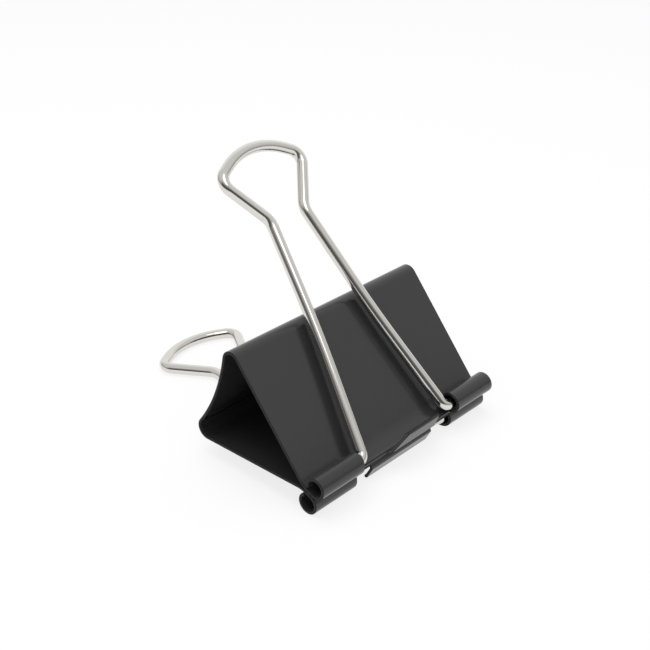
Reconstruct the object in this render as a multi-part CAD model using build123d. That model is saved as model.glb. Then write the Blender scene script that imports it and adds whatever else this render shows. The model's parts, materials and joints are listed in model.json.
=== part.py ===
from build123d import *
import os
from math import asin, atan2, cos, degrees, hypot, radians, sin, sqrt, tan

# Foldback clip: one spring-steel body with rolled lips, and two wire handles that hook into the lips.
# It is drawn with X along the lips, Y from the mouth to the spine and Z square to the plane where the
# jaws meet, and is then tipped to lie on its rear handle and rear lip. Millimetres and degrees.

# Spring-steel body
SHEET = 0.6
BODY_LENGTH = 51.0
JAW_ANGLE = 26.0            # each jaw to the plane where they meet
JAW_PLATE = 24.7            # flat length of a jaw
FOLD_RADIUS = 2.3           # outside of the fold between jaw and spine
SPINE_BOW_RADIUS = 40.0     # the spine is hollow towards the outside

# Rolled lips
LIP_GAP = 0.1               # between the two lips at rest
LIP_FLAT = 1.3              # flat land where the lips meet
LIP_BEND_RADIUS = 5.0       # from the jaw into the land
ROLL_EDGE_GAP = 0.25        # from the free edge of the roll to the jaw
NOTCH_ARC = 32.0            # start of the roll that is left standing in the notches
TONGUE_WIDTH = 20.0         # middle of the lip, at the land
TONGUE_TAPER = 51.6         # each side of it
TONGUE_ARC = 150.0          # how far it is rolled
TUBE_END_SLANT = 8.0        # inner ends of the outer tubes

# Wire handles
WIRE = 2.3
LEG_SPACING = 24.6          # where the legs meet the axis of the lip
LEG_BOW = 0.8               # legs bow towards each other
LEG_BOW_RADIUS = 250.0
NECK_SPACING = 9.2
NECK_HEIGHT = 48.0
NECK_RADIUS = 4.0
LOOP_FLARE = 32.3           # sides of the loop to the handle's middle line
LOOP_CORNER_RADIUS = 2.6
LOOP_END_RADIUS = 15.0
LOOP_END_SLOPE = 30.0
HANDLE_LENGTH = 62.7        # axis of the lip to the end of the loop
FOOT_REACH = 9.8            # from the leg into the tube
ELBOW_RADIUS = 1.6
FOOT_CHAMFER = 0.35

# Fits
FOOT_CLEARANCE = 0.45       # around the foot in its tube
LEG_CLEARANCE = 0.2         # beside the leg in its notch
HANDLE_REST_GAP = 0.9       # from the wire to the fold, as the handle lies

# Worked out from the sizes above
wire_radius = WIRE / 2
roll_bore = wire_radius + FOOT_CLEARANCE
roll_radius = roll_bore + SHEET
roll_height = LIP_GAP / 2 + roll_radius
roll_centre = Vector(0, roll_height)
roll_edge = -degrees(asin(1 - (SHEET + ROLL_EDGE_GAP) / roll_radius))
bend_centre = Vector(LIP_FLAT, LIP_GAP / 2 + LIP_BEND_RADIUS)
jaw_along = Vector(cos(radians(JAW_ANGLE)), sin(radians(JAW_ANGLE)))
jaw_out = Vector(-sin(radians(JAW_ANGLE)), cos(radians(JAW_ANGLE)))
plate_start = bend_centre - jaw_out * (LIP_BEND_RADIUS - SHEET)
fold_centre = plate_start + jaw_along * JAW_PLATE - jaw_out * FOLD_RADIUS
bow_reach = SPINE_BOW_RADIUS + FOLD_RADIUS
bow_centre = Vector(fold_centre.X + sqrt(bow_reach**2 - fold_centre.Y**2), 0)
fold_end = degrees(atan2(bow_centre.Y - fold_centre.Y, bow_centre.X - fold_centre.X))
notch_end = LEG_SPACING / 2 + wire_radius + LEG_CLEARANCE + roll_radius * tan(radians(TUBE_END_SLANT))
cut_room = 3 * roll_radius  # cutters reach this far past the lip

# How the handles and the whole clip lie
fold_from_roll = fold_centre - roll_centre
wire_from_fold = FOLD_RADIUS + wire_radius + HANDLE_REST_GAP
handle_angle = degrees(
    atan2(fold_from_roll.Y, fold_from_roll.X)
    + asin(wire_from_fold / hypot(fold_from_roll.X, fold_from_roll.Y))
)
rest_tilt = handle_angle - degrees(asin((roll_radius - wire_radius) / HANDLE_LENGTH))
tilt = radians(rest_tilt)
mouth_end = -roll_height * sin(tilt) - roll_radius
loop_end = HANDLE_LENGTH * cos(radians(handle_angle - rest_tilt)) + roll_height * sin(tilt) + wire_radius
lying = Pos(0, -(mouth_end + loop_end) / 2, roll_height * cos(tilt) + roll_radius) * Rot(rest_tilt, 0, 0)


def polar(centre, radius, angle):
    """A point at a radius and an angle from a centre."""
    return centre + Vector(cos(radians(angle)), sin(radians(angle))) * radius


def along_lips(edges, start, end):
    """A closed outline across the clip, extruded from one place along the lips to another."""
    return Pos(start, 0, 0) * extrude(Plane.YZ * make_face(edges), end - start)


def jaw_side(roll, bend, fold):
    """One face of the bent sheet, from the free edge of the roll to the end of the fold."""
    return [
        CenterArc(roll_centre, roll, roll_edge, 270 - roll_edge),
        Line(polar(roll_centre, roll, 270), polar(bend_centre, bend, 270)),
        CenterArc(bend_centre, bend, 270, JAW_ANGLE),
        Line(polar(bend_centre, bend, 270 + JAW_ANGLE), polar(fold_centre, fold, 90 + JAW_ANGLE)),
        CenterArc(fold_centre, fold, fold_end, 90 + JAW_ANGLE - fold_end),
    ]


def roll_cut(kept_arc, start, end):
    """What is cut from the roll so that only its first stretch is kept."""
    inner = roll_bore - SHEET / 2
    outer = roll_radius + ROLL_EDGE_GAP / 2
    first = roll_edge - degrees(ROLL_EDGE_GAP / 2 / roll_radius)
    last = 270 - kept_arc
    edges = [
        CenterArc(roll_centre, inner, first, last - first),
        CenterArc(roll_centre, outer, first, last - first),
        Line(polar(roll_centre, inner, first), polar(roll_centre, outer, first)),
        Line(polar(roll_centre, inner, last), polar(roll_centre, outer, last)),
    ]
    return along_lips(edges, start, end)


def notch():
    """The notch for one leg, between the tapered tongue and the slanted end of the outer tube."""
    lean = cut_room * tan(radians(TUBE_END_SLANT))
    tube = Polyline(
        (notch_end - lean, -cut_room), (BODY_LENGTH, -cut_room),
        (BODY_LENGTH, cut_room), (notch_end + lean, cut_room), close=True,
    )
    taper = cut_room * tan(radians(TONGUE_TAPER))
    tongue = Polyline(
        (-TONGUE_WIDTH, 0), (TONGUE_WIDTH / 2, 0),
        (TONGUE_WIDTH / 2 - taper, cut_room), (-TONGUE_WIDTH, cut_room), close=True,
    )
    cut = roll_cut(NOTCH_ARC, 0, BODY_LENGTH / 2)
    cut -= extrude(make_face(tube), cut_room, both=True)
    cut -= extrude(Plane.XZ * make_face(tongue), cut_room, both=True)
    return cut


def jaw():
    """The upper jaw with its fold and its rolled, notched lip."""
    edges = jaw_side(roll_radius, LIP_BEND_RADIUS, FOLD_RADIUS - SHEET)
    edges += jaw_side(roll_bore, LIP_BEND_RADIUS - SHEET, FOLD_RADIUS)
    edges += [
        Line(polar(roll_centre, roll_bore, roll_edge), polar(roll_centre, roll_radius, roll_edge)),
        Line(polar(fold_centre, FOLD_RADIUS - SHEET, fold_end), polar(fold_centre, FOLD_RADIUS, fold_end)),
    ]
    bent = along_lips(edges, -BODY_LENGTH / 2, BODY_LENGTH / 2)
    leg_notch = notch()
    bent -= leg_notch
    bent -= mirror(leg_notch, Plane.YZ)
    bent -= roll_cut(TONGUE_ARC, -TONGUE_WIDTH / 2, TONGUE_WIDTH / 2)
    return bent


def spine():
    """The bowed back of the clip, between the ends of the two folds."""
    half = -fold_end
    inside = SPINE_BOW_RADIUS + SHEET
    edges = [
        CenterArc(bow_centre, SPINE_BOW_RADIUS, 180 - half, 2 * half),
        CenterArc(bow_centre, inside, 180 - half, 2 * half),
        Line(polar(bow_centre, SPINE_BOW_RADIUS, 180 - half), polar(bow_centre, inside, 180 - half)),
        Line(polar(bow_centre, SPINE_BOW_RADIUS, 180 + half), polar(bow_centre, inside, 180 + half)),
    ]
    return along_lips(edges, -BODY_LENGTH / 2, BODY_LENGTH / 2)


def handle_path():
    """Centre line of the wire in its own plane, foot to foot: right side first, then mirrored."""
    flare = tan(radians(LOOP_FLARE))
    slope = tan(radians(LOOP_END_SLOPE))
    leg, neck = LEG_SPACING / 2, NECK_SPACING / 2
    apex = HANDLE_LENGTH - LOOP_END_RADIUS + LOOP_END_RADIUS / cos(radians(LOOP_END_SLOPE))
    corner = (neck + (apex - NECK_HEIGHT) * flare) / (1 + slope * flare)
    right = [
        (leg + FOOT_REACH, 0),
        (leg, 0),
        ((leg + neck) / 2 - LEG_BOW, NECK_HEIGHT / 2),
        (neck, NECK_HEIGHT),
        (corner, apex - corner * slope),
    ]
    left = [(-x, y) for x, y in reversed(right)]
    side_radii = [ELBOW_RADIUS, LEG_BOW_RADIUS, NECK_RADIUS, LOOP_CORNER_RADIUS]
    radii = side_radii + [LOOP_END_RADIUS] + side_radii[::-1]
    return FilletPolyline(*right, (0, apex), *left, radius=radii)


def handle():
    """The upper handle, folded back along its jaw."""
    path = handle_path()
    wire = sweep(Plane(origin=path @ 0, z_dir=path % 0) * Circle(wire_radius), path)
    ends = wire.faces().sort_by(Axis.X)
    wire = chamfer(ends[0].edges() + ends[-1].edges(), FOOT_CHAMFER)
    return Pos(0, 0, roll_height) * Rot(handle_angle, 0, 0) * wire


front_jaw = jaw()
front_handle = handle()
nodes = {
    "spine": spine(),
    "front_jaw": front_jaw,
    "rear_jaw": mirror(front_jaw, Plane.XY),
    "front_handle": front_handle,
    "rear_handle": mirror(front_handle, Plane.XY),
}
os.makedirs("parts", exist_ok=True)
for name, shape in nodes.items():
    export_step(lying * shape, f"parts/{name}.step")
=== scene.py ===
"""A foldback clip: a black enamelled spring-steel body with two nickel-plated wire handles."""

import json
import logging
import math
from dataclasses import dataclass
from enum import Enum
from typing import Any

import bmesh
import bpy
from mathutils import Matrix, Vector
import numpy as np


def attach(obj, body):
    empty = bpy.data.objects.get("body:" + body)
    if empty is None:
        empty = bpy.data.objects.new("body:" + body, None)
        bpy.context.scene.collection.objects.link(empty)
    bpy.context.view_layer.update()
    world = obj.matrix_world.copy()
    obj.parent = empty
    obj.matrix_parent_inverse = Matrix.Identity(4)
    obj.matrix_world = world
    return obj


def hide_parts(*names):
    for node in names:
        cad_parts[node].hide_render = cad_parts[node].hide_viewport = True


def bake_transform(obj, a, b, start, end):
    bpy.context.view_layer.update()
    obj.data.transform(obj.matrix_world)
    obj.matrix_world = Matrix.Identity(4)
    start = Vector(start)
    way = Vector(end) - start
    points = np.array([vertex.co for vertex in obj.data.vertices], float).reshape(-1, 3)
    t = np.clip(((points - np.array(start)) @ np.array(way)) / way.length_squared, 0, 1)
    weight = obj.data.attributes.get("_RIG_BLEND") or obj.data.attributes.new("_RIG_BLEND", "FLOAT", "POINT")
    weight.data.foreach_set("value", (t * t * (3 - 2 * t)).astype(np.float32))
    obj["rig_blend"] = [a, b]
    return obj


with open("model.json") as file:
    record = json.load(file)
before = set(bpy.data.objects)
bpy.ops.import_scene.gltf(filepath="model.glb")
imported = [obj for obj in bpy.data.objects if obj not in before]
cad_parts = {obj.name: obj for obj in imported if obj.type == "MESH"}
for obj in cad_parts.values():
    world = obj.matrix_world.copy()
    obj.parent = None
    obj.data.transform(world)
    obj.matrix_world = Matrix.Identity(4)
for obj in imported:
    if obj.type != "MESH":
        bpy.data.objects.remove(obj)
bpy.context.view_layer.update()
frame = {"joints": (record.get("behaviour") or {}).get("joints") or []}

log = logging.getLogger("foldback_clip")
MM = 0.001
WHITE = (1.0, 1.0, 1.0)
NOISE_MIDDLE = 0.5
ROUND_PROFILE = 0.5
# Points nearer than MERGED become one, and places along the lips nearer than CLOSE count as the same
MERGED = 0.0001 * MM
CLOSE = 0.01 * MM
# What each piece carries: a point's place in the cut section, how far along the stock it is, and cut edges
SECTION = "section"
RUN = "run"
RIM = "rim"


class Side(Enum):
    """The two sides of the clip, with the sign of their height above the plane where the jaws meet."""

    FRONT = 1
    REAR = -1

    @property
    def word(self) -> str:
        """The side's name, as the bodies and nodes begin."""
        return self.name.lower()


# Shader sums


class Shade:
    """One value of a shader, on which sums are written as in Python."""

    def __init__(self, tree: bpy.types.NodeTree, socket: bpy.types.NodeSocket) -> None:
        """Wraps a socket.

        Args:
            tree: the node tree that the socket is in.
            socket: the output that gives the value.
        """
        self.tree = tree
        self.socket = socket

    def sum(self, operation: str, first: "Shade | float", second: "Shade | float") -> "Shade":
        """Adds one Math node.

        Args:
            operation: the Math node's operation.
            first: the value or number on its first socket.
            second: the value or number on its second socket.

        Returns:
            The result.
        """
        made = self.tree.nodes.new("ShaderNodeMath")
        made.operation = operation
        plug(self.tree, made.inputs[0], first)
        plug(self.tree, made.inputs[1], second)
        return Shade(self.tree, made.outputs[0])

    def __add__(self, other: "Shade | float") -> "Shade":
        """This plus other."""
        return self.sum("ADD", self, other)

    def __radd__(self, other: float) -> "Shade":
        """A number plus this."""
        return self.sum("ADD", other, self)

    def __sub__(self, other: "Shade | float") -> "Shade":
        """This less other."""
        return self.sum("SUBTRACT", self, other)

    def __rsub__(self, other: float) -> "Shade":
        """A number less this."""
        return self.sum("SUBTRACT", other, self)

    def __mul__(self, other: "Shade | float") -> "Shade":
        """This times other."""
        return self.sum("MULTIPLY", self, other)

    def __rmul__(self, other: float) -> "Shade":
        """A number times this."""
        return self.sum("MULTIPLY", other, self)


def plug(tree: bpy.types.NodeTree, socket: bpy.types.NodeSocket, value: Any) -> None:
    """Links a value to a socket, or sets the socket to a number, vector or colour.

    Args:
        tree: the node tree.
        socket: the input.
        value: a Shade to link, or what the socket is set to.
    """
    if isinstance(value, Shade):
        tree.links.new(value.socket, socket)
    else:
        socket.default_value = value


class Recipe:
    """The nodes of one material, or of the world."""

    def __init__(self, tree: bpy.types.NodeTree) -> None:
        """Starts from an empty tree."""
        self.tree = tree
        tree.nodes.clear()

    def node(
        self,
        kind: str,
        settings: dict[str, Any] | None = None,
        sockets: dict[str | int, Any] | None = None,
        output: str | int = 0,
    ) -> Shade:
        """Adds any node.

        Args:
            kind: the node's type.
            settings: its settings, which are set first.
            sockets: the values or links of its inputs, by name or number.
            output: the output to go on from.

        Returns:
            That output, or the first input of a node with no outputs.
        """
        made = self.tree.nodes.new(kind)
        for name, value in (settings or {}).items():
            setattr(made, name, value)
        for name, value in (sockets or {}).items():
            plug(self.tree, made.inputs[name], value)
        return Shade(self.tree, made.outputs[output] if made.outputs else made.inputs[0])

    def place(self) -> Shade:
        """Finds where a point lies on the straight, flat stock before it was bent.

        Returns:
            The place, in metres.
        """
        section = self.node("ShaderNodeAttribute", {"attribute_name": SECTION}, output="Vector")
        run = self.node("ShaderNodeAttribute", {"attribute_name": RUN}, output="Fac")
        along = self.node("ShaderNodeCombineXYZ", sockets={"Z": run})
        return self.node("ShaderNodeVectorMath", {"operation": "ADD"}, {0: section, 1: along})

    def scaled(self, vector: Shade, factors: tuple[float, float, float]) -> Shade:
        """A vector times three factors."""
        return self.node("ShaderNodeVectorMath", {"operation": "MULTIPLY"}, {0: vector, 1: factors})

    def noise(self, vector: Shade, scale: float, detail: float = 2.0) -> Shade:
        """Soft random spots of about one over scale."""
        return self.node("ShaderNodeTexNoise", None, {"Vector": vector, "Scale": scale, "Detail": detail})

    def steps(self, value: Shade, low: float, high: float) -> Shade:
        """A smooth rise from 0 at low to 1 at high."""
        ends = {"Value": value, "From Min": low, "From Max": high}
        return self.node("ShaderNodeMapRange", {"interpolation_type": "SMOOTHSTEP"}, ends)

    def mixed(self, share: Shade, first: Any, second: Any) -> Shade:
        """A colour between two others."""
        return self.node("ShaderNodeMix", {"data_type": "RGBA"}, {0: share, 6: first, 7: second}, output=2)


def opaque(colour: tuple[float, float, float]) -> tuple[float, float, float, float]:
    """A colour with full alpha."""
    return (*colour, 1.0)


# Finishes


@dataclass(frozen=True)
class BlackEnamel:
    """Satin black enamel on spring steel, duller on the cut edges, with painted shade that makes those edges
    darker.
    """

    colour: tuple[float, float, float] = (0.027, 0.027, 0.028)
    # painted shade: cut edges and end faces are coloured near black, darker than the enamel itself
    painted_edge_shade_colour: tuple[float, float, float] = (0.006, 0.006, 0.006)
    roughness: float = 0.20
    roughness_spread: float = 0.06
    edge_roughness: float = 0.7
    edge_share: float = 0.8
    cloud_size: float = 9.0 * MM
    cloud_detail: float = 3.0
    peel_size: float = 0.5 * MM
    peel_detail: float = 1.0
    peel_depth: float = 0.004 * MM
    peel_strength: float = 0.35
    edge_shade_patch_size: float = 0.35 * MM
    edge_shade_patch_range: tuple[float, float] = (0.45, 0.7)

    def material(self) -> bpy.types.Material:
        """Makes the material.

        Returns:
            The enamel.
        """
        made = bpy.data.materials.new("black_enamel")
        made.use_nodes = True
        recipe = Recipe(made.node_tree)
        place = recipe.place()
        rim = recipe.node("ShaderNodeAttribute", {"attribute_name": RIM}, output="Fac")
        clouds = recipe.noise(place, 1 / self.cloud_size, self.cloud_detail)
        peel = recipe.noise(place, 1 / self.peel_size, self.peel_detail)
        # painted shade on the cut edges and end faces, broken into noise patches; the same mask also raises
        # their roughness
        edge_shade_patches = recipe.steps(recipe.noise(place, 1 / self.edge_shade_patch_size), *self.edge_shade_patch_range)
        dull_and_shaded_edges = rim * (self.edge_share + (1 - self.edge_share) * edge_shade_patches)
        uneven = self.roughness_spread * (clouds - NOISE_MIDDLE)
        bump = recipe.node(
            "ShaderNodeBump",
            None,
            {"Strength": self.peel_strength, "Distance": self.peel_depth, "Height": peel},
        )
        shader = recipe.node(
            "ShaderNodeBsdfPrincipled",
            None,
            {
                "Base Color": recipe.mixed(dull_and_shaded_edges, opaque(self.colour), opaque(self.painted_edge_shade_colour)),
                "Roughness": self.roughness + uneven + self.edge_roughness * dull_and_shaded_edges,
                "Normal": bump,
            },
        )
        recipe.node("ShaderNodeOutputMaterial", None, {"Surface": shader})
        return made


@dataclass(frozen=True)
class NickelPlate:
    """Bright nickel on drawn steel wire, with the faint lines that the drawing die leaves along it."""

    colour: tuple[float, float, float] = (0.74, 0.72, 0.68)
    line_colour: tuple[float, float, float] = (0.60, 0.58, 0.54)
    roughness: float = 0.12
    roughness_spread: float = 0.1
    line_width: float = 0.12 * MM
    line_length: float = 30.0 * MM
    line_depth: float = 0.0015 * MM
    line_strength: float = 0.4
    line_range: tuple[float, float] = (0.45, 0.75)
    line_share: float = 0.5
    spot_size: float = 1.8 * MM
    spot_detail: float = 3.0
    spot_share: float = 0.2
    usual_marks: float = 0.2

    def material(self) -> bpy.types.Material:
        """Makes the material.

        Returns:
            The nickel.
        """
        made = bpy.data.materials.new("nickel_plate")
        made.use_nodes = True
        recipe = Recipe(made.node_tree)
        place = recipe.place()
        stretched = recipe.scaled(place, (1 / self.line_width, 1 / self.line_width, 1 / self.line_length))
        lines = recipe.noise(stretched, 1.0)
        spots = recipe.noise(place, 1 / self.spot_size, self.spot_detail)
        marks = self.line_share * recipe.steps(lines, *self.line_range) + self.spot_share * spots
        bump = recipe.node(
            "ShaderNodeBump",
            None,
            {"Strength": self.line_strength, "Distance": self.line_depth, "Height": lines},
        )
        shader = recipe.node(
            "ShaderNodeBsdfPrincipled",
            None,
            {
                "Base Color": recipe.mixed(marks, opaque(self.colour), opaque(self.line_colour)),
                "Metallic": 1.0,
                "Roughness": self.roughness + self.roughness_spread * (marks - self.usual_marks),
                "Normal": bump,
            },
        )
        recipe.node("ShaderNodeOutputMaterial", None, {"Surface": shader})
        return made


# Bending sheet and wire


class Bender:
    """Carries a cut section through straight runs and bends, as sheet and wire are formed."""

    def __init__(
        self, bm: bmesh.types.BMesh, section: list[bmesh.types.BMFace], heading: Vector, axis: Vector
    ) -> None:
        """Starts at a section.

        Args:
            bm: the mesh that is made.
            section: the faces of the section, square to the heading.
            heading: the way the stock goes.
            axis: the axis that bends turn about, by the right-hand rule.
        """
        self.bm = bm
        self.section = section
        self.heading = heading.normalized()
        self.axis = axis.normalized()
        self.travelled = 0.0
        corners = [vert.co for face in section for vert in face.verts]
        self.place = sum(corners, Vector()) / len(corners)

    def fork(self, section: list[bmesh.types.BMFace]) -> "Bender":
        """Makes another bender, which goes on from here with a part of the section.

        Args:
            section: the faces of that part.

        Returns:
            The other bender.
        """
        other = Bender(self.bm, section, self.heading, self.axis)
        other.place = self.place.copy()
        other.travelled = self.travelled
        return other

    def mark(self, length: float) -> None:
        """Notes how far along the stock the section now is.

        Args:
            length: how far it went since the last note.
        """
        self.travelled += length
        run = self.bm.verts.layers.float[RUN]
        for face in self.section:
            for vert in face.verts:
                vert[run] = self.travelled

    def go(self, length: float, keep_end: bool = False) -> None:
        """Goes straight on.

        Args:
            length: how far.
            keep_end: whether the section stays behind as the closed end of the piece.
        """
        grown = bmesh.ops.extrude_face_region(self.bm, geom=self.section, use_keep_orig=keep_end)["geom"]
        self.section = [part for part in grown if isinstance(part, bmesh.types.BMFace)]
        verts = [part for part in grown if isinstance(part, bmesh.types.BMVert)]
        bmesh.ops.translate(self.bm, vec=self.heading * length, verts=verts)
        self.place += self.heading * length
        self.mark(length)

    def bend(self, angle: float, radius: float, step: float) -> None:
        """Goes round a bend.

        Args:
            angle: the turn about the axis, with its sign.
            radius: of the line through the middle of the section.
            step: the turn of one facet, at most.
        """
        inwards = self.axis.cross(self.heading) * math.copysign(1.0, angle)
        centre = self.place + inwards * radius
        count = max(1, math.ceil(abs(angle) / step))
        turn = Matrix.Rotation(angle / count, 3, self.axis)
        for _ in range(count):
            spun = bmesh.ops.spin(
                self.bm, geom=self.section, cent=centre, axis=self.axis, angle=angle / count, steps=1
            )
            self.section = [part for part in spun["geom_last"] if isinstance(part, bmesh.types.BMFace)]
            self.place = centre + turn @ (self.place - centre)
            self.heading = turn @ self.heading
            self.mark(abs(angle) / count * radius)


def bench() -> bmesh.types.BMesh:
    """Starts an empty mesh that is ready to note sections, runs and cut edges.

    Returns:
        The mesh.
    """
    bm = bmesh.new()
    bm.verts.layers.float_vector.new(SECTION)
    bm.verts.layers.float.new(RUN)
    bm.loops.layers.float.new(RIM)
    return bm


def note_section(bm: bmesh.types.BMesh) -> None:
    """Notes each point's place in the section, which lies in the plane of X and Y.

    Args:
        bm: the mesh, which holds only the section.
    """
    layer = bm.verts.layers.float_vector[SECTION]
    for vert in bm.verts:
        vert[layer] = vert.co


def note_rim(bm: bmesh.types.BMesh, faces: list[bmesh.types.BMFace]) -> None:
    """Notes that faces belong to cut edges.

    Args:
        bm: the mesh.
        faces: the faces.
    """
    rim = bm.loops.layers.float[RIM]
    for face in faces:
        for loop in face.loops:
            loop[rim] = 1.0


def round_edges(
    bm: bmesh.types.BMesh, edges: list[bmesh.types.BMEdge], radius: float, segments: int
) -> None:
    """Rounds cut edges and notes the rounded faces.

    Args:
        bm: the mesh.
        edges: the edges.
        radius: how far the round reaches from the edge.
        segments: its facets.
    """
    rounded = bmesh.ops.bevel(
        bm,
        geom=edges,
        offset=radius,
        segments=segments,
        profile=ROUND_PROFILE,
        affect="EDGES",
        material=-1,
        clamp_overlap=True,
    )
    note_rim(bm, rounded["faces"])


def finished_piece(
    bm: bmesh.types.BMesh, name: str, placing: Matrix, finish: bpy.types.Material, sharp: float
) -> bpy.types.Object:
    """Puts a mesh in its place and makes it a smooth-shaded object, at the origin and unturned.

    Args:
        bm: the mesh, which is used up.
        name: the piece's name.
        placing: from the mesh's own frame to the part's.
        finish: the material.
        sharp: edges that turn by more than this angle stay sharp.

    Returns:
        The object.
    """
    bmesh.ops.transform(bm, matrix=placing, verts=bm.verts)
    bmesh.ops.recalc_face_normals(bm, faces=bm.faces)
    for face in bm.faces:
        face.smooth = True
    for edge in bm.edges:
        edge.smooth = edge.calc_face_angle(math.pi) < sharp
    mesh = bpy.data.meshes.new(name)
    bm.to_mesh(mesh)
    bm.free()
    mesh.materials.append(finish)
    piece = bpy.data.objects.new(name, mesh)
    bpy.context.scene.collection.objects.link(piece)
    weighted = piece.modifiers.new("flat_faces_stay_flat", "WEIGHTED_NORMAL")
    weighted.keep_sharp = True
    evaluated = piece.evaluated_get(bpy.context.evaluated_depsgraph_get())
    piece.data = bpy.data.meshes.new_from_object(evaluated)
    piece.data.name = name
    piece.modifiers.clear()
    return piece


# The clip


@dataclass(frozen=True)
class ClipPlace:
    """Where the clip lies.

    Its own frame has X along the lips, Y from the mouth to the spine and Z square to the plane where the
    jaws meet.
    """

    to_part: Matrix

    @classmethod
    def from_joints(cls, joints: list[dict[str, Any]]) -> "ClipPlace":
        """Finds the frame from the two handles' pivots.

        Args:
            joints: the part's joints.

        Returns:
            The place.
        """
        pivots = {joint["child"]: Vector(joint["pos_m"]) for joint in joints}
        front, rear = pivots["front_handle"], pivots["rear_handle"]
        height = (front - rear).normalized()
        lips = Vector((1.0, 0.0, 0.0))
        turned = Matrix((lips, height.cross(lips), height)).transposed().to_4x4()
        return cls(Matrix.Translation((front + rear) / 2) @ turned)

    def placing(self, side: Side) -> Matrix:
        """From the front side's drawing to the part, mirrored for the rear side."""
        return self.to_part @ Matrix.Diagonal((1.0, 1.0, side.value, 1.0))


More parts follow.
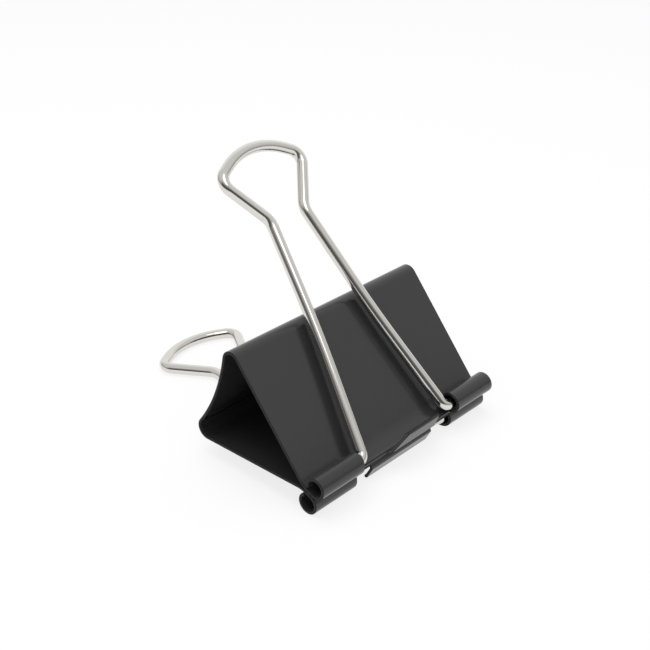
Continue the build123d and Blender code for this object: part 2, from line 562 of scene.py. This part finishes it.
@dataclass(frozen=True)
class SheetBody:
    """The folded sheet: a bowed spine, two folds, two jaws, and lips rolled into tubes and tongues."""

    thickness: float = 0.6 * MM
    length: float = 51.0 * MM
    jaw_angle: float = math.radians(26.0)
    jaw_plate: float = 24.7 * MM
    fold_radius: float = 2.3 * MM
    bow_radius: float = 40.0 * MM
    lip_gap: float = 0.1 * MM
    lip_flat: float = 1.3 * MM
    lip_bend_radius: float = 5.0 * MM
    roll_bore: float = 1.6 * MM
    roll_edge_gap: float = 0.25 * MM
    notch_arc: float = math.radians(32.0)
    front_tongue_start: float = -6.4 * MM
    rear_tongue_start: float = -10.0 * MM
    tongue_end: float = 8.0 * MM
    front_tongue_slant: float = math.radians(51.6)
    tongue_arc: float = math.radians(150.0)
    tongue_front: float = 1.7 * MM
    tongue_lean: float = math.radians(4.0)
    tube_start: float = 13.96 * MM
    tube_slant: float = math.radians(8.0)
    edge_round: float = 0.15 * MM
    edge_facets: int = 4
    side_facing: float = 0.7
    fine_step: float = math.radians(6.0)
    seam_step: float = math.radians(0.2)
    bow_step: float = math.radians(1.5)
    sharp: float = math.radians(40.0)

    @property
    def roll_radius(self) -> float:
        """Outside of the rolled tube."""
        return self.roll_bore + self.thickness

    @property
    def roll_centre(self) -> Vector:
        """Axis of the rolled lip."""
        return Vector((0.0, 0.0, self.lip_gap / 2 + self.roll_radius))

    @property
    def roll_arc(self) -> float:
        """How far the tubes are rolled."""
        left_open = 1 - (self.thickness + self.roll_edge_gap) / self.roll_radius
        return math.radians(270.0) + math.asin(left_open)

    @property
    def jaw_out(self) -> Vector:
        """Square to the jaw, away from the throat."""
        return Vector((0.0, -math.sin(self.jaw_angle), math.cos(self.jaw_angle)))

    @property
    def fold_centre(self) -> Vector:
        """Finds the axis of the fold between jaw and spine.

        Returns:
            A point on it, in the clip's own frame.
        """
        bend = Vector((0.0, self.lip_flat, self.lip_gap / 2 + self.lip_bend_radius))
        along = Vector((0.0, math.cos(self.jaw_angle), math.sin(self.jaw_angle)))
        inside = self.lip_bend_radius - self.thickness
        return bend + along * self.jaw_plate - self.jaw_out * (inside + self.fold_radius)

    @property
    def bow_arc(self) -> float:
        """Half of the spine's arc."""
        return math.asin(self.fold_centre.z / (self.bow_radius + self.fold_radius))

    @property
    def bow_place(self) -> float:
        """How far behind the lips the axis of the spine's bow lies."""
        return self.fold_centre.y + (self.bow_radius + self.fold_radius) * math.cos(self.bow_arc)

    @property
    def spine_place(self) -> float:
        """How far behind the lips the middle of the spine lies."""
        return self.bow_place - self.bow_radius - self.thickness / 2

    def tongue_start(self, side: Side) -> float:
        """Where the tongue begins: the front one is shorter, with this end cut at a slant."""
        return self.front_tongue_start if side is Side.FRONT else self.rear_tongue_start

    def cut_end(self, bm: bmesh.types.BMesh, side: Side) -> list[bmesh.types.BMFace]:
        """The sheet's section at the middle of the spine, divided where the bands of the lip begin.

        Args:
            bm: the mesh that is made.
            side: which half.

        Returns:
            The section's faces.
        """
        half = self.length / 2
        stops = [-half, -self.tube_start, self.tongue_start(side), self.tongue_end, self.tube_start, half]
        ends = [bm.verts.new((stops[0], depth, 0.0)) for depth in (-self.thickness / 2, self.thickness / 2)]
        edge = bm.edges.new(ends)
        for here, there in zip(stops, stops[1:]):
            grown = bmesh.ops.extrude_edge_only(bm, edges=[edge])["geom"]
            new_edges = [part for part in grown if isinstance(part, bmesh.types.BMEdge)]
            edge = next(part for part in new_edges if all(vert in grown for vert in part.verts))
            bmesh.ops.translate(bm, vec=(there - here, 0.0, 0.0), verts=list(edge.verts))
        note_section(bm)
        bmesh.ops.translate(bm, vec=(0.0, self.spine_place, 0.0), verts=bm.verts)
        return list(bm.faces)

    def bent(self, side: Side) -> bmesh.types.BMesh:
        """Bends one half of the sheet, from the middle of the spine to the rolled lip.

        Args:
            side: which half.

        Returns:
            The mesh, as it lies on the front side.
        """
        bm = bench()
        bender = Bender(bm, self.cut_end(bm, side), Vector((0.0, 0.0, 1.0)), Vector((1.0, 0.0, 0.0)))
        half = self.thickness / 2
        bender.go(0.0, keep_end=True)
        bender.bend(-self.seam_step, self.bow_radius + half, self.bow_step)
        bender.bend(self.seam_step - self.bow_arc, self.bow_radius + half, self.bow_step)
        fold_arc = math.pi / 2 + self.jaw_angle + self.bow_arc
        bender.bend(fold_arc, self.fold_radius - half, self.fine_step)
        bender.go(self.jaw_plate)
        bender.bend(-self.jaw_angle, self.lip_bend_radius - half, self.fine_step)
        bender.go(self.lip_flat)
        roll = self.roll_bore + half
        bender.bend(-self.notch_arc, roll, self.fine_step)
        notch_run = bender.travelled
        bands = sorted(bender.section, key=lambda face: face.calc_center_median().x)
        left_tube, _, tongue, _, right_tube = bands
        arcs = (self.roll_arc, self.tongue_arc, self.roll_arc)
        for band, arc in zip((left_tube, tongue, right_tube), arcs):
            bender.fork([band]).bend(self.notch_arc - arc, roll, self.fine_step)
        self.trim_bands(bm, notch_run, side)
        return bm

    def trim_bands(self, bm: bmesh.types.BMesh, notch_run: float, side: Side) -> None:
        """Slants the inner ends of the tubes and an end of the front tongue, and presses the tongue flat.

        Args:
            bm: the bent sheet.
            notch_run: how far along the sheet the notches begin.
            side: which half.
        """
        run = bm.verts.layers.float[RUN]
        start = self.tongue_start(side)
        slant = self.front_tongue_slant if side is Side.FRONT else 0.0
        for vert in bm.verts:
            if vert[run] < notch_run - CLOSE:
                continue
            across = vert.co.x
            if abs(abs(across) - self.tube_start) < CLOSE:
                vert.co.x += math.copysign(vert.co.y * math.tan(self.tube_slant), across)
            if abs(across - start) < CLOSE:
                vert.co.x += vert.co.z * math.tan(slant)
            if min(abs(across - start), abs(across - self.tongue_end)) < CLOSE:
                from_axis = vert.co - self.roll_centre
                outside = from_axis.yz.length > self.roll_bore + self.thickness / 2
                front = self.tongue_front if outside else self.tongue_front - self.thickness
                vert.co.y = max(vert.co.y, from_axis.z * math.tan(self.tongue_lean) - front)

    def round_cut_edges(self, bm: bmesh.types.BMesh) -> None:
        """Rounds every cut edge but those at the middle of the spine, and notes the cut sides.

        Args:
            bm: the bent sheet.
        """
        run = bm.verts.layers.float[RUN]
        edges = [
            edge
            for edge in bm.edges
            if edge.calc_face_angle(0.0) > self.sharp and max(vert[run] for vert in edge.verts) > 0.0
        ]
        round_edges(bm, edges, self.edge_round, self.edge_facets)
        bm.normal_update()
        note_rim(bm, [face for face in bm.faces if abs(face.normal.x) > self.side_facing])

    def build(self, side: Side, place: ClipPlace, finish: bpy.types.Material) -> bpy.types.Object:
        """Makes one half of the body, which bends between its jaw and the spine as the clip opens.

        Args:
            side: which half.
            place: where the clip lies.
            finish: the enamel.

        Returns:
            The piece.
        """
        bm = self.bent(side)
        bmesh.ops.remove_doubles(bm, verts=bm.verts, dist=MERGED)
        self.round_cut_edges(bm)
        placing = place.placing(side)
        piece = finished_piece(bm, f"{side.word}_body_half", placing, finish, self.sharp)
        jaw = f"{side.word}_jaw"
        spine_middle = Vector((0.0, self.spine_place, 0.0))
        fold_top = self.fold_centre + self.jaw_out * self.fold_radius
        rise = Vector((0.0, -1.0, 1.0)).normalized()
        reach = (fold_top - spine_middle).dot(rise)
        stiff_from = placing @ spine_middle
        stiff_to = placing @ (spine_middle + rise * reach)
        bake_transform(piece, "spine", jaw, start=stiff_from, end=stiff_to)
        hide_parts(jaw, "spine")
        return piece


@dataclass(frozen=True)
class WireHandle:
    """One bent wire: feet that hook into the tubes, bowed legs, a neck and a loop."""

    wire: float = 2.3 * MM
    leg_spacing: float = 24.6 * MM
    leg_bow: float = 0.8 * MM
    leg_bow_radius: float = 250.0 * MM
    neck_spacing: float = 9.2 * MM
    neck_height: float = 48.0 * MM
    neck_radius: float = 4.0 * MM
    loop_flare: float = math.radians(32.3)
    loop_corner_radius: float = 2.6 * MM
    loop_end_radius: float = 15.0 * MM
    loop_end_slope: float = math.radians(30.0)
    length: float = 62.7 * MM
    foot_reach: float = 9.8 * MM
    elbow_radius: float = 1.6 * MM
    foot_chamfer: float = 0.35 * MM
    foot_facets: int = 4
    rest_gap: float = 0.9 * MM
    facets: int = 40
    step: float = math.radians(4.0)
    slow_step: float = math.radians(0.5)
    sharp: float = math.radians(60.0)

    def corners(self) -> list[tuple[Vector, float]]:
        """The wire's corners in its own plane, from foot to foot, each with the radius it is bent to.

        Returns:
            Places and radii. The two feet have no radius.
        """
        leg, neck = self.leg_spacing / 2, self.neck_spacing / 2
        flare, slope = math.tan(self.loop_flare), math.tan(self.loop_end_slope)
        apex = self.length - self.loop_end_radius + self.loop_end_radius / math.cos(self.loop_end_slope)
        corner = (neck + (apex - self.neck_height) * flare) / (1 + slope * flare)
        right = [
            (Vector((leg + self.foot_reach, 0.0, 0.0)), 0.0),
            (Vector((leg, 0.0, 0.0)), self.elbow_radius),
            (Vector(((leg + neck) / 2 - self.leg_bow, self.neck_height / 2, 0.0)), self.leg_bow_radius),
            (Vector((neck, self.neck_height, 0.0)), self.neck_radius),
            (Vector((corner, apex - corner * slope, 0.0)), self.loop_corner_radius),
        ]
        left = [(Vector((-place.x, place.y, 0.0)), radius) for place, radius in reversed(right)]
        return [*right, (Vector((0.0, apex, 0.0)), self.loop_end_radius), *left]

    def bent(self) -> bmesh.types.BMesh:
        """Bends the wire.

        Returns:
            The mesh, in the plane of the handle.
        """
        bm = bench()
        bmesh.ops.create_circle(bm, cap_ends=True, segments=self.facets, radius=self.wire / 2)
        note_section(bm)
        corners = self.corners()
        heading = (corners[1][0] - corners[0][0]).normalized()
        upright = Vector((0.0, 0.0, 1.0))
        facing = upright.rotation_difference(heading).to_matrix().to_4x4()
        bmesh.ops.transform(bm, matrix=Matrix.Translation(corners[0][0]) @ facing, verts=bm.verts)
        bender = Bender(bm, list(bm.faces), heading, upright)
        used = 0.0
        keep_end = True
        for (before, _), (here, radius), (after, _) in zip(corners, corners[1:], corners[2:]):
            arriving, leaving = here - before, after - here
            turn = arriving.angle(leaving) * math.copysign(1.0, arriving.cross(leaving).z)
            taken = radius * math.tan(abs(turn) / 2)
            bender.go(arriving.length - used - taken, keep_end)
            bender.bend(turn, radius, self.slow_step if radius == self.leg_bow_radius else self.step)
            used = taken
            keep_end = False
        bender.go((corners[-1][0] - corners[-2][0]).length - used)
        return bm

    def lean(self, body: SheetBody) -> float:
        """The angle of the handle to the plane where the jaws meet, as it lies back along its jaw.

        Args:
            body: the sheet that it hooks into.

        Returns:
            The angle.
        """
        to_fold = body.fold_centre - body.roll_centre
        clear = body.fold_radius + self.wire / 2 + self.rest_gap
        return math.atan2(to_fold.z, to_fold.y) + math.asin(clear / to_fold.length)

    def build(
        self, side: Side, body: SheetBody, place: ClipPlace, finish: bpy.types.Material
    ) -> bpy.types.Object:
        """Makes one handle.

        Args:
            side: which handle.
            body: the sheet that it hooks into.
            place: where the clip lies.
            finish: the plating.

        Returns:
            The piece.
        """
        bm = self.bent()
        ends = [edge for edge in bm.edges if edge.calc_face_angle(0.0) > self.sharp]
        round_edges(bm, ends, self.foot_chamfer, self.foot_facets)
        hooked = Matrix.Translation(body.roll_centre) @ Matrix.Rotation(self.lean(body), 4, "X")
        node = f"{side.word}_handle"
        piece = finished_piece(bm, f"{node}_wire", place.placing(side) @ hooked, finish, self.sharp)
        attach(piece, node)
        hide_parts(node)
        return piece


# The studio


@dataclass(frozen=True)
class Softbox:
    """A round soft light that faces the clip."""

    name: str
    place: tuple[float, float, float]
    size: float
    power: float
    mirrored: bool

    def build(self) -> None:
        """Hangs the light, which shiny surfaces show only if it is mirrored."""
        data = bpy.data.lights.new(self.name, "AREA")
        data.shape = "DISK"
        data.size = self.size
        data.energy = self.power
        made = bpy.data.objects.new(self.name, data)
        made.location = self.place
        made.rotation_euler = (-Vector(self.place)).to_track_quat("-Z", "Y").to_euler()
        made.visible_glossy = self.mirrored
        bpy.context.scene.collection.objects.link(made)


@dataclass(frozen=True)
class Studio:
    """A white floor under soft light, with the camera where the photograph was taken from."""

    azimuth: float = math.radians(-46.96)
    elevation: float = math.radians(28.43)
    distance: float = 250.0 * MM
    aim: tuple[float, float, float] = (17.66 * MM, 5.99 * MM, 8.81 * MM)
    focal_length: float = 62.2
    sensor: float = 36.0
    nearest: float = 5.0 * MM
    floor_radius: float = 2.0
    floor_facets: int = 64
    floor_colour: tuple[float, float, float] = (0.88, 0.88, 0.88)
    floor_glow: float = 0.8
    sky: float = 0.75
    horizon: float = 0.34
    horizon_top: float = 0.6
    wall_side: tuple[float, float, float] = (-0.75, -0.66, 0.0)
    wall_level: float = 0.1
    wall_reach: tuple[float, float] = (0.3, 0.75)
    wall_top: tuple[float, float] = (0.35, 0.85)
    backdrop_reach: tuple[float, float] = (0.3, 0.75)
    lamps: tuple[Softbox, ...] = (
        Softbox(name="key", place=(-0.072, -0.252, 0.54), size=0.36, power=0.48, mirrored=True),
        Softbox(name="fill", place=(-0.03, 0.10, 0.60), size=0.5, power=1.6, mirrored=False),
    )

    def camera(self) -> None:
        """Sets the camera."""
        flat = math.cos(self.elevation)
        sideways, forwards = math.sin(self.azimuth) * flat, -math.cos(self.azimuth) * flat
        back = Vector((sideways, forwards, math.sin(self.elevation)))
        data = bpy.data.cameras.new("camera")
        data.lens = self.focal_length
        data.sensor_width = self.sensor
        data.clip_start = self.nearest
        made = bpy.data.objects.new("camera", data)
        made.location = Vector(self.aim) + back * self.distance
        made.rotation_euler = (-back).to_track_quat("-Z", "Y").to_euler()
        bpy.context.scene.collection.objects.link(made)
        bpy.context.scene.camera = made

    def seen(self, recipe: Recipe) -> Shade:
        """Tells what the camera sees, straight or in a shiny or clear surface, from what only lights.

        Args:
            recipe: the nodes that it is for.

        Returns:
            1 for what is seen, and 0 for what only lights.
        """
        straight = recipe.node("ShaderNodeLightPath", output="Is Camera Ray")
        mirrored = recipe.node("ShaderNodeLightPath", output="Is Glossy Ray")
        through = recipe.node("ShaderNodeLightPath", output="Is Transmission Ray")
        return straight.sum("MINIMUM", straight + mirrored + through, 1.0)

    def floor(self) -> None:
        """Lays the floor, which is white to the camera and still takes a soft shadow."""
        made = bpy.data.materials.new("white_floor")
        made.use_nodes = True
        recipe = Recipe(made.node_tree)
        plain = recipe.node("ShaderNodeBsdfDiffuse", None, {"Color": opaque(self.floor_colour)})
        glow = recipe.node("ShaderNodeEmission", None, {"Color": opaque(WHITE), "Strength": 1.0})
        share = self.seen(recipe) * self.floor_glow
        shader = recipe.node("ShaderNodeMixShader", None, {0: share, 1: plain, 2: glow})
        recipe.node("ShaderNodeOutputMaterial", None, {"Surface": shader})
        bm = bmesh.new()
        bmesh.ops.create_circle(bm, cap_ends=True, segments=self.floor_facets, radius=self.floor_radius)
        mesh = bpy.data.meshes.new("floor")
        bm.to_mesh(mesh)
        bm.free()
        mesh.materials.append(made)
        floor = bpy.data.objects.new("floor", mesh)
        bpy.context.scene.collection.objects.link(floor)

    def world(self) -> None:
        """Surrounds the clip with a soft sky, white behind it, and a dark low wall for metal to mirror."""
        made = bpy.data.worlds.new("studio")
        made.use_nodes = True
        recipe = Recipe(made.node_tree)
        outwards = recipe.node("ShaderNodeTexCoord", output="Generated")
        facing = recipe.node(
            "ShaderNodeVectorMath",
            {"operation": "DOT_PRODUCT"},
            {0: outwards, 1: Vector(self.wall_side).normalized()},
            output="Value",
        )
        height = recipe.node("ShaderNodeSeparateXYZ", None, {0: outwards}, output="Z")
        mirrored = recipe.node("ShaderNodeLightPath", output="Is Glossy Ray")
        low = 1.0 - recipe.steps(height, *self.wall_top)
        wall = mirrored * recipe.steps(facing, *self.wall_reach) * low
        open_sky = self.horizon + recipe.steps(height, 0.0, self.horizon_top) * (self.sky - self.horizon)
        level = open_sky + wall * (self.wall_level - open_sky)
        straight = recipe.node("ShaderNodeLightPath", output="Is Camera Ray")
        backdrop = recipe.steps(0.0 - facing, *self.backdrop_reach)
        shown = straight.sum("MAXIMUM", straight, self.seen(recipe) * backdrop)
        strength = level + shown * (1.0 - level)
        sky = recipe.node("ShaderNodeBackground", None, {"Color": opaque(WHITE), "Strength": strength})
        recipe.node("ShaderNodeOutputWorld", None, {"Surface": sky})
        bpy.context.scene.world = made

    def build(self) -> None:
        """Sets up the floor, light and camera."""
        self.floor()
        self.world()
        for lamp in self.lamps:
            lamp.build()
        self.camera()
        bpy.context.scene.view_settings.view_transform = "Standard"


def main() -> None:
    """Builds the clip and the studio."""
    logging.basicConfig(level=logging.INFO, format="%(message)s")
    place = ClipPlace.from_joints(frame["joints"])
    enamel = BlackEnamel().material()
    nickel = NickelPlate().material()
    body = SheetBody()
    handle = WireHandle()
    for side in Side:
        for piece in (body.build(side, place, enamel), handle.build(side, body, place, nickel)):
            log.info("made %s with %d faces", piece.name, len(piece.data.polygons))
    Studio().build()


if __name__ == "__main__":
    main()
